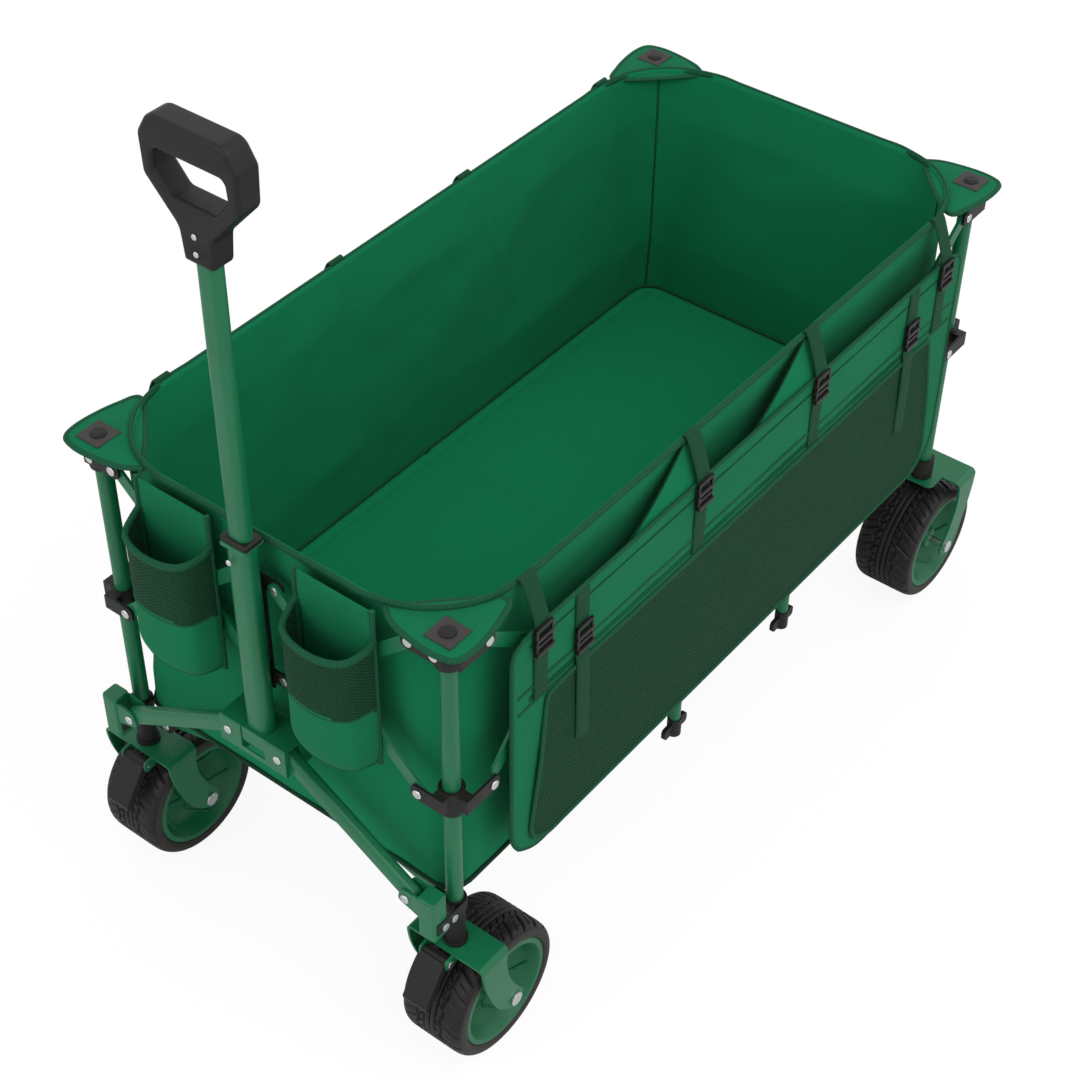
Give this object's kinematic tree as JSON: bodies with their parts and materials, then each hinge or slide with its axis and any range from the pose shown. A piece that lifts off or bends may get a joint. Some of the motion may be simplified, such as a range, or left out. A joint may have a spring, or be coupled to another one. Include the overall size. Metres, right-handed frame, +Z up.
{
  "type": "folding wagon",
  "caption": "Collapsible four-wheel utility wagon: steel frame, fabric tub with side pockets, swivel front casters and a telescopic pull handle that tilts",
  "frame": {"origin": "on the ground plane, midway between the four corner posts", "axes": "+X forward towards the pull handle, +Y to the wagon's left, +Z up"},
  "size_m": [1.3097, 0.672, 1.294],
  "materials": {
    "frame_paint": "semi-gloss",
    "fabric": "woven",
    "mesh": "mesh",
    "webbing": "ribbed",
    "black_plastic": "moulded, satin",
    "tyre": "matte",
    "rim": "semi-gloss",
    "steel": "zinc plated"
  },
  "bodies": {
    "rear_frame": {"rear_posts": "frame_paint", "rear_base_sleeves": "black_plastic", "rear_forks": "frame_paint", "rear_caps": "black_plastic", "rear_middle_brackets": "black_plastic", "rear_fasteners": "steel", "rear_end_bars": "frame_paint", "rear_end_hubs": "black_plastic", "tub": "fabric", "floor_mat": "fabric", "side_panels": "fabric", "mesh_pockets": "mesh", "straps": "webbing", "buckles": "black_plastic", "corner_flaps_rear": "fabric", "corner_badges_rear": "black_plastic"},
    "front_frame": {"front_posts": "frame_paint", "swivel_sleeves": "black_plastic", "front_caps": "black_plastic", "front_middle_brackets": "black_plastic", "front_fasteners": "steel", "front_end_bars": "frame_paint", "front_end_hubs": "black_plastic", "uprights": "frame_paint", "clamp_straps": "frame_paint", "pull_arms": "frame_paint", "handle_block": "frame_paint", "cup_pockets": "fabric", "corner_flaps_front": "fabric", "corner_badges_front": "black_plastic"},
    "middle_front": {"middle_posts_front": "frame_paint", "middle_hubs_front": "black_plastic"},
    "middle_rear": {"middle_posts_rear": "frame_paint", "middle_hubs_rear": "black_plastic"},
    "diagonal_front": {"diagonals_front": "frame_paint"},
    "strut_front": {"struts_front": "frame_paint"},
    "diagonal_rear": {"diagonals_rear": "frame_paint"},
    "strut_rear": {"struts_rear": "frame_paint"},
    "centre_inner": {"centre_bars_inner": "frame_paint"},
    "centre_outer": {"centre_bars_outer": "frame_paint"},
    "handle_lower": {"handle_lower_tube": "frame_paint", "handle_collar": "black_plastic"},
    "handle_upper": {"handle_upper_tube": "frame_paint", "grip": "black_plastic", "grip_screws": "steel"},
    "caster_left": {"caster_fork_left": "frame_paint", "caster_hardware_left": "steel"},
    "brake_left": {"brake_pedal_left": "black_plastic"},
    "wheel_front_left": {"tyre_front_left": "tyre", "rim_front_left": "rim"},
    "wheel_rear_left": {"tyre_rear_left": "tyre", "rim_rear_left": "rim"},
    "caster_right": {"caster_fork_right": "frame_paint", "caster_hardware_right": "steel"},
    "brake_right": {"brake_pedal_right": "black_plastic"},
    "wheel_front_right": {"tyre_front_right": "tyre", "rim_front_right": "rim"},
    "wheel_rear_right": {"tyre_rear_right": "tyre", "rim_rear_right": "rim"}
  },
  "joints": [
    {"name": "frame_fold", "type": "slide", "parent": "rear_frame", "child": "front_frame", "axis": [-1, 0, 0], "range_m": [0, 0.7959], "deforming": ["tub", "floor_mat", "side_panels", "mesh_pockets", "straps", "buckles"]},
    {"name": "middle_front_slide", "type": "slide", "parent": "rear_frame", "child": "middle_front", "axis": [-1, 0, 0], "range_m": [0, 0.4906]},
    {"name": "middle_rear_slide", "type": "slide", "parent": "rear_frame", "child": "middle_rear", "axis": [-1, 0, 0], "range_m": [0, 0.3058]},
    {"name": "diagonal_front_swing", "type": "hinge", "parent": "front_frame", "child": "diagonal_front", "pos_m": [0.527, 0, 0.719], "axis": [0, 1, 0], "range_deg": [-44, 0]},
    {"name": "strut_front_swing", "type": "hinge", "parent": "diagonal_front", "child": "strut_front", "pos_m": [0.4054, 0, 0.6198], "axis": [0, 1, 0], "range_deg": [0, 80]},
    {"name": "diagonal_rear_swing", "type": "hinge", "parent": "rear_frame", "child": "diagonal_rear", "pos_m": [-0.527, 0, 0.719], "axis": [0, 1, 0], "range_deg": [0, 44]},
    {"name": "strut_rear_swing", "type": "hinge", "parent": "diagonal_rear", "child": "strut_rear", "pos_m": [-0.4054, 0, 0.6198], "axis": [0, 1, 0], "range_deg": [-80, 0]},
    {"name": "centre_inner_swing", "type": "hinge", "parent": "middle_front", "child": "centre_inner", "pos_m": [0.107, 0, 0.65], "axis": [0, 1, 0], "range_deg": [-38, 0]},
    {"name": "centre_outer_swing", "type": "hinge", "parent": "middle_rear", "child": "centre_outer", "pos_m": [-0.107, 0, 0.65], "axis": [0, 1, 0], "range_deg": [0, 38]},
    {"name": "caster_swivel_left", "type": "hinge", "parent": "front_frame", "child": "caster_left", "pos_m": [0.5685, 0.27, 0.215], "axis": [0, 0, 1], "continuous": true},
    {"name": "wheel_front_left_spin", "type": "hinge", "parent": "caster_left", "child": "wheel_front_left", "pos_m": [0.527, 0.27, 0.098], "axis": [0, 1, 0], "continuous": true},
    {"name": "brake_left_press", "type": "hinge", "parent": "caster_left", "child": "brake_left", "pos_m": [0.5975, 0.27, 0.203], "axis": [0, 1, 0], "range_deg": [0, 14]},
    {"name": "wheel_rear_left_spin", "type": "hinge", "parent": "rear_frame", "child": "wheel_rear_left", "pos_m": [-0.5685, 0.27, 0.098], "axis": [0, 1, 0], "continuous": true},
    {"name": "caster_swivel_right", "type": "hinge", "parent": "front_frame", "child": "caster_right", "pos_m": [0.5685, -0.27, 0.215], "axis": [0, 0, 1], "continuous": true},
    {"name": "wheel_front_right_spin", "type": "hinge", "parent": "caster_right", "child": "wheel_front_right", "pos_m": [0.527, -0.27, 0.098], "axis": [0, 1, 0], "continuous": true},
    {"name": "brake_right_press", "type": "hinge", "parent": "caster_right", "child": "brake_right", "pos_m": [0.5975, -0.27, 0.203], "axis": [0, 1, 0], "range_deg": [0, 14]},
    {"name": "wheel_rear_right_spin", "type": "hinge", "parent": "rear_frame", "child": "wheel_rear_right", "pos_m": [-0.5685, -0.27, 0.098], "axis": [0, 1, 0], "continuous": true},
    {"name": "handle_tilt", "type": "hinge", "parent": "front_frame", "child": "handle_lower", "pos_m": [0.605, 0, 0.432], "axis": [0, 1, 0], "range_deg": [0, 70]},
    {"name": "handle_slide", "type": "slide", "parent": "handle_lower", "child": "handle_upper", "axis": [0, 0, 1], "range_m": [-0.22, 0]}
  ],
  "couplings": [
    {"joint": "middle_front_slide", "follows": "frame_fold", "ratio": 0.6161},
    {"joint": "middle_rear_slide", "follows": "frame_fold", "ratio": 0.3839},
    {"joint": "diagonal_front_swing", "follows": "frame_fold", "rad_per_m": -0.9434},
    {"joint": "strut_front_swing", "follows": "frame_fold", "rad_per_m": 1.7238},
    {"joint": "diagonal_rear_swing", "follows": "frame_fold", "rad_per_m": 0.9434},
    {"joint": "strut_rear_swing", "follows": "frame_fold", "rad_per_m": -1.7238},
    {"joint": "centre_inner_swing", "follows": "frame_fold", "rad_per_m": -0.8176},
    {"joint": "centre_outer_swing", "follows": "frame_fold", "rad_per_m": 0.8176}
  ]
}
